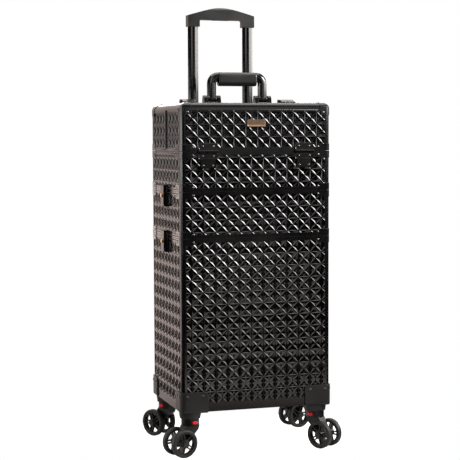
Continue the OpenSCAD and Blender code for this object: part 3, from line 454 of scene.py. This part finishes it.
key_brass = finish("key_brass", (0.55, 0.33, 0.1), (0.78, 0.52, 0.2), 1500.0, (0.2, 0.35), 0.006, metal=1.0)
key_y, key_drop, key_reach = -5.0, 11.0, 4.47 * mm
for side in ("left", "right"):
    for level, seam in (("upper", seam_mid), ("lower", seam_low)):
        barrel = ring_faces(Vector((0, key_y, seam - key_drop)) * mm, Vector((1, 0, 0)), outer=key_reach)
        softened("latch_%s_%s" % (side, level), "latch_lever_%s_%s" % (side, level), 0.5,
                 [black_paint, key_brass], pick=barrel)

# Lid latches: a die-cast lever on the rear lid that snaps over a hook on the front lid. Lever and
# hook sit on pressed plates, painted black and riveted through the lids.
for node in ("lid_latch_bases", "lid_latch_catches", "lid_latch_lever_left", "lid_latch_lever_right"):
    softened(node, node + "_pressed", 0.4, [black_paint])
latch_x, plate_top = 115.0, 763.5
for name, body, y, reach, radius, height in (("lid_latch_base_rivets", "rear_lid", 21.0, 13.0, 1.9, 0.9),
                                             ("lid_latch_catch_rivets", "front_lid", -20.5, 15.6, 1.6, 0.8)):
    spots = [((x + dx, y, plate_top), (0, 0, 1)) for x in (-latch_x, latch_x) for dx in (-reach, reach)]
    rivets(name, body, "latch_black", spots, radius, height)

# Carry handle: oval steel bars bent to an elbow and lacquered, with an eye on each pin, and a soft
# sleeve moulded over them. The moulded brackets are screwed to the rear lid, with a rest pad between
# their cheeks.
black_gloss = finish("black_gloss", grey(0.001), grey(0.002), 500.0, (0.1, 0.16), 0.004, shine=0.7)
black_satin = finish("black_satin", grey(0.004), grey(0.008), 1800.0, (0.32, 0.42), 0.02, shine=0.6)
black_moulded = finish("black_moulded", grey(0.006), grey(0.012), 2400.0, (0.42, 0.56), 0.03)
arm_x, pivot_y, pivot_z = 59.5, 13.0, 774.0
arm_half, arm_rise, elbow_x, arm_reach = (10.5, 7.5), 34.5, 45.0, 20.0
eye_radius, eye_length, eye_round = 7.4 * mm, 20.6 * mm, 1.4 * mm
bar_crease = 40.0


def oval_section(bm, centre, half, segments):
    """Makes a flat oval face across an upright bar and returns it in a list."""
    rim = bmesh.ops.create_circle(bm, cap_ends=True, segments=segments, radius=1.0)["verts"]
    bmesh.ops.scale(bm, vec=(half[0] * mm, half[1] * mm, 1.0), verts=rim)
    bmesh.ops.translate(bm, vec=Vector(centre) * mm, verts=rim)
    return list({f for v in rim for f in v.link_faces})


def drawn_out(bm, section, way, keep=False):
    """Extrudes a section along a vector in millimetres and returns the faces at its far end."""
    run = bmesh.ops.extrude_face_region(bm, geom=section, use_keep_orig=keep)["geom"]
    bmesh.ops.translate(bm, vec=Vector(way) * mm, verts=[g for g in run if isinstance(g, bmesh.types.BMVert)])
    if not keep:
        bmesh.ops.delete(bm, geom=section, context="FACES_ONLY")
    return [g for g in run if isinstance(g, bmesh.types.BMFace)]


arms = bmesh.new()
for side in (-1, 1):
    foot = oval_section(arms, (side * arm_x, pivot_y, pivot_z), arm_half, 28)
    shoulder = drawn_out(arms, foot, (0, 0, arm_rise), keep=True)
    elbow = Vector((side * elbow_x, pivot_y, pivot_z + arm_rise)) * mm
    bend = bmesh.ops.spin(arms, geom=shoulder, cent=elbow, axis=(0, -side, 0), angle=math.pi / 2,
                          steps=10)["geom_last"]
    bmesh.ops.delete(arms, geom=shoulder, context="FACES")
    drawn_out(arms, [g for g in bend if isinstance(g, bmesh.types.BMFace)], (-side * arm_reach, 0, 0))
    pin = Vector((side * arm_x, pivot_y, pivot_z)) * mm
    across = Matrix.Translation(pin) @ Matrix.Rotation(math.pi / 2, 4, "Y")
    eye = bmesh.ops.create_cone(arms, cap_ends=True, segments=32, radius1=eye_radius, radius2=eye_radius,
                                depth=eye_length, matrix=across)["verts"]
    rounds = [e for e in {e for v in eye for e in v.link_edges} if e.calc_face_angle(0.0) > 1.0]
    round_edges(arms, rounds, eye_round, 3)
bmesh.ops.remove_doubles(arms, verts=arms.verts, dist=0.01 * mm)
bmesh.ops.recalc_face_normals(arms, faces=arms.faces)
bent_arms = show("carry_arms", mesh_of("carry_arms", arms, bar_crease), body_of["carry_handle"],
                 slot_of["carry_handle"], black_gloss)
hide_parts("carry_handle")

sleeve = show("carry_sleeve", merged_copy("carry_grip", "carry_sleeve", False), body_of["carry_grip"],
              slot_of["carry_grip"], black_satin)
grid = sleeve.modifiers.new("even_grid", "REMESH")
grid.mode, grid.voxel_size, grid.use_smooth_shade = "VOXEL", 1.0 * mm, True
rub = sleeve.modifiers.new("rubbed_edges", "SMOOTH")
rub.factor, rub.iterations = 0.5, 24
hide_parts("carry_grip")

softened("handle_brackets", "carry_brackets", 0.8, [black_gloss], segments=3)
pad_z, pad_size = 764.0, (19.0, 9.0, 4.6)
pads = bmesh.new()
for x in (-arm_x, arm_x):
    block(pads, (x, pivot_y, pad_z), pad_size)
round_edges(pads, pads.edges[:], 0.8 * mm, 2)
show("carry_rest_pads", mesh_of("carry_rest_pads", pads), "rear_lid", slot_of["handle_brackets"],
     black_moulded)
pin_end = 19.5
spots = [((x + way * pin_end, pivot_y, pivot_z), (way, 0, 0)) for x in (-arm_x, arm_x) for way in (-1, 1)]
rivets("carry_pin_heads", "rear_lid", "screw_steel", spots, 3.2, 0.8)

# Trolley handle: two drawn oval rods, lacquered and open at the foot, that slide in anodised tubes
# held to the lower case by moulded brackets. A moulded grip with a lock button joins them.
rod_x, rod_y, rod_foot, rod_length = 66.0, 141.0, 457.0, 508.0
rod_half, rod_wall, rod_bore = (12.45, 7.95), 1.3, 90.0
rods = bmesh.new()
for x in (-rod_x, rod_x):
    foot = oval_section(rods, (x, rod_y, rod_foot), rod_half, 40)
    drawn_out(rods, foot, (0, 0, rod_length), keep=True)
    bmesh.ops.inset_region(rods, faces=foot, thickness=rod_wall * mm, use_even_offset=True)
    drawn_out(rods, foot, (0, 0, rod_bore))
bmesh.ops.recalc_face_normals(rods, faces=rods.faces)
oval_rods = show("trolley_rods_lacquered", mesh_of("trolley_rods_lacquered", rods, bar_crease),
                 body_of["trolley_rods"], slot_of["trolley_rods"], black_gloss)
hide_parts("trolley_rods")
softened("trolley_tubes", "trolley_tubes_anodised", 0.3, [black_anodised])
softened("trolley_grip", "trolley_grip_moulded", 2.2, [black_satin], segments=4)
softened("grip_button", "grip_button_moulded", 1.2, [black_moulded], segments=3)
softened("trolley_brackets", "trolley_brackets_moulded", 0.8, [black_moulded])

# Corner guards: tough moulded corners round the foot of the case, each with a stepped caster socket
# and raised-head screws in blackened steel.
black_nickel = finish("black_nickel", grey(0.05), grey(0.12), 1600.0, (0.25, 0.4), 0.006, metal=1.0)
softened("corner_guards", "corner_guards_moulded", 0.9, [black_moulded], segments=3)
softened("guard_screws", "guard_screw_heads", 0.3, [black_nickel])

# Casters: moulded forks on steel stems, twin spoked wheels with dull tyres on a steel axle with
# coppery caps, and a red release button in each neck.
fork_black = finish("fork_black", grey(0.002), grey(0.005), 2200.0, (0.28, 0.4), 0.02)
tyre_rubber = finish("tyre_rubber", grey(0.003), grey(0.008), 2600.0, (0.5, 0.65), 0.05)
copper_cap = finish("copper_cap", (0.4, 0.22, 0.14), (0.6, 0.36, 0.25), 1500.0, (0.25, 0.4), 0.006, metal=1.0)
button_red = finish("button_red", (0.66, 0.006, 0.008), (0.8, 0.01, 0.013), 900.0, (0.2, 0.3), 0.006)
cap_reach, cap_clear, tyre_inner = 2.6 * mm, 9.0 * mm, 25.475 * mm
spins = {j["child"]: j for j in frame["joints"] if j["name"].endswith("_spin")}
for corner in ("fl", "fr", "rl", "rr"):
    wheels = ["wheel_%s_%s" % (corner, side) for side in ("left", "right")]
    hubs = [Vector(spins[wheel]["pos_m"]) for wheel in wheels]
    along = Vector(spins[wheels[0]]["axis"])
    caps = ring_faces((hubs[0] + hubs[1]) / 2, along, outer=cap_reach, clear=cap_clear)
    softened("caster_fork_" + corner, "caster_fork_%s_moulded" % corner, 0.9, [fork_black, copper_cap],
             segments=3, pick=caps)
    softened("caster_button_" + corner, "caster_button_%s_moulded" % corner, 1.0, [button_red], segments=3)
    for wheel, hub in zip(wheels, hubs):
        softened(wheel, wheel + "_moulded", 0.5, [fork_black, tyre_rubber],
                 pick=ring_faces(hub, along, inner=tyre_inner))

# Trays and links: vacuum-formed black trays with studs at their ends, hung on flat zinc-plated links
# that swing on headed studs in the walls of the top case.
tray_plastic = finish("tray_plastic", grey(0.01), grey(0.02), 1900.0, (0.45, 0.6), 0.03)
zinc = finish("zinc", (0.42, 0.42, 0.41), (0.58, 0.58, 0.57), 500.0, (0.28, 0.42), 0.008, metal=1.0,
              stretch=(1.0, 0.2, 1.0))
for half in ("front", "rear"):
    for level in ("lower", "upper"):
        node = "%s_%s_tray" % (half, level)
        softened(node, node + "_formed", 0.6, [tray_plastic])
    for letter in ("a", "b"):
        node = "%s_link_%s" % (half, letter)
        softened(node, node + "_plated", 0.3, [zinc])

# Studio: a small pale floor before a white wall. The key boxes to the right of the camera light the
# slanting rays, the strips in front the low rows and the foot, the boxes at the left the side and its
# corner, and those at the right the rods; one box stands behind and one hangs overhead.
ground_mesh = bmesh.new()
bmesh.ops.create_circle(ground_mesh, cap_ends=True, segments=64, radius=0.3)
ground = bpy.data.objects.new("studio_floor", mesh_of("studio_floor", ground_mesh))
bpy.context.scene.collection.objects.link(ground)
paper = finish("pale_floor", grey(0.5), grey(0.54), 60.0, (0.6, 0.7), 0.0)
glow = paper.node_tree.nodes["Principled BSDF"].inputs
glow["Emission Color"].default_value = (1.0, 1.0, 1.0, 1.0)
through = paper.node_tree.nodes.new("ShaderNodeLightPath")
paper.node_tree.links.new(through.outputs["Is Camera Ray"], glow["Emission Strength"])
ground.data.materials.append(paper)

world = bpy.data.worlds.new("studio")
bpy.context.scene.world = world
world.use_nodes = True
nodes, links = world.node_tree.nodes, world.node_tree.links
sky = nodes["Background"]
way = nodes.new("ShaderNodeTexCoord")
split = nodes.new("ShaderNodeSeparateXYZ")
links.new(way.outputs["Generated"], split.inputs["Vector"])


def fade(axis, start, stop, low, high):
    """Brightness that changes smoothly along one axis of the direction looked in."""
    return spread(nodes, links, split.outputs[axis], start, stop, low, high, "SMOOTHSTEP")


def combined(operation, first, second):
    """Result of one sum on two values."""
    node = nodes.new("ShaderNodeMath")
    node.operation = operation
    links.new(first, node.inputs[0])
    links.new(second, node.inputs[1])
    return node.outputs["Value"]


# The wall behind is brighter above the horizon; all else is dim, and paler overhead.
wall = combined("MULTIPLY", fade("Y", 0.7, 0.93, 0.0, 0.66), fade("Z", 0.05, 0.28, 1.0, 1.35))
around = combined("MAXIMUM", wall, fade("Z", 0.25, 0.6, 0.008, 0.4))
seen = nodes.new("ShaderNodeLightPath")
direct = nodes.new("ShaderNodeMix")
direct.data_type = "FLOAT"
direct.inputs["B"].default_value = 1.0
links.new(seen.outputs["Is Camera Ray"], direct.inputs["Factor"])
links.new(around, direct.inputs["A"])
links.new(direct.outputs["Result"], sky.inputs["Strength"])
warmth = nodes.new("ShaderNodeMix")
warmth.data_type = "RGBA"
warmth.inputs["A"].default_value = (1.0, 0.83, 0.78, 1.0)
warmth.inputs["B"].default_value = (1.0, 1.0, 1.0, 1.0)
links.new(seen.outputs["Is Camera Ray"], warmth.inputs["Factor"])
links.new(warmth.outputs["Result"], sky.inputs["Color"])


def soft_box(name, place, aim, width, height, radiance, tint=(1.0, 1.0, 1.0)):
    """Rectangular lamp turned to a point, with its brightness given as radiance."""
    lamp = bpy.data.lights.new(name, "AREA")
    lamp.shape, lamp.size, lamp.size_y = "RECTANGLE", width, height
    lamp.energy, lamp.color = radiance * math.pi * width * height, tint
    holder = bpy.data.objects.new(name, lamp)
    bpy.context.scene.collection.objects.link(holder)
    holder.location = place
    holder.rotation_euler = (Vector(aim) - Vector(place)).to_track_quat("-Z", "Y").to_euler()
    holder.visible_camera = False
    return holder


cream, blush, peach, rose = (1.0, 0.95, 0.9), (1.0, 0.9, 0.86), (1.0, 0.86, 0.8), (1.0, 0.82, 0.76)
soft_box("key_box", (1.58, -1.02, 1.55), (0.0, -0.12, 0.62), 0.8, 0.6, 30.0)
soft_box("key_low_box", (1.62, -1.0, 0.92), (0.0, -0.12, 0.5), 0.9, 0.55, 0.9)
soft_box("front_low_strip", (0.6, -2.03, 0.83), (0.0, -0.12, 0.6), 0.6, 0.26, 1.2)
soft_box("front_left_high_box", (-0.6, -2.0, 1.4), (0.0, -0.12, 0.4), 0.9, 1.0, 1.6)
soft_box("left_box", (-2.02, -0.87, 0.66), (-0.17, -0.12, 0.66), 2.0, 0.32, 5.0)
soft_box("right_box", (2.0, 0.07, 1.12), (0.07, 0.14, 0.9), 2.2, 0.46, 8.0, cream)
soft_box("front_right_box", (1.41, -1.27, 1.11), (0.07, 0.14, 0.9), 0.9, 0.46, 8.0, cream)
soft_box("left_rear_box", (-2.05, 0.68, 0.4), (-0.17, 0.0, 0.4), 1.1, 1.1, 3.2, blush)
soft_box("back_left_box", (-0.75, 1.5, 0.2), (-0.17, 0.0, 0.2), 0.9, 0.7, 1.25, rose)
soft_box("front_near_strip", (0.19, -0.72, 0.31), (0.05, -0.12, 0.25), 0.3, 0.12, 1.1, blush)
soft_box("foot_strip", (0.17, -0.72, 0.03), (0.0, -0.12, 0.1), 0.9, 0.06, 1.6, peach)
soft_box("back_key_box", (0.6, 2.4, 1.35), (0.0, 0.12, 0.5), 1.2, 0.9, 4.0)
soft_box("top_box", (0.0, 0.0, 2.6), (0.0, 0.0, 0.7), 2.4, 2.4, 3.0)

# Camera: stands where the photograph was taken from, as fitted to the corners of the case.
lens = bpy.data.cameras.new("photo_camera")
lens.lens, lens.sensor_width, lens.sensor_fit = 105.36, 36.0, "HORIZONTAL"
camera = bpy.data.objects.new("photo_camera", lens)
bpy.context.scene.collection.objects.link(camera)
camera.location = (-0.9168, -2.8839, 0.6884)
camera.rotation_euler = [math.radians(turn) for turn in (86.059, 0.245, -17.259)]
bpy.context.scene.camera = camera
bpy.context.scene.view_settings.view_transform = "Standard"
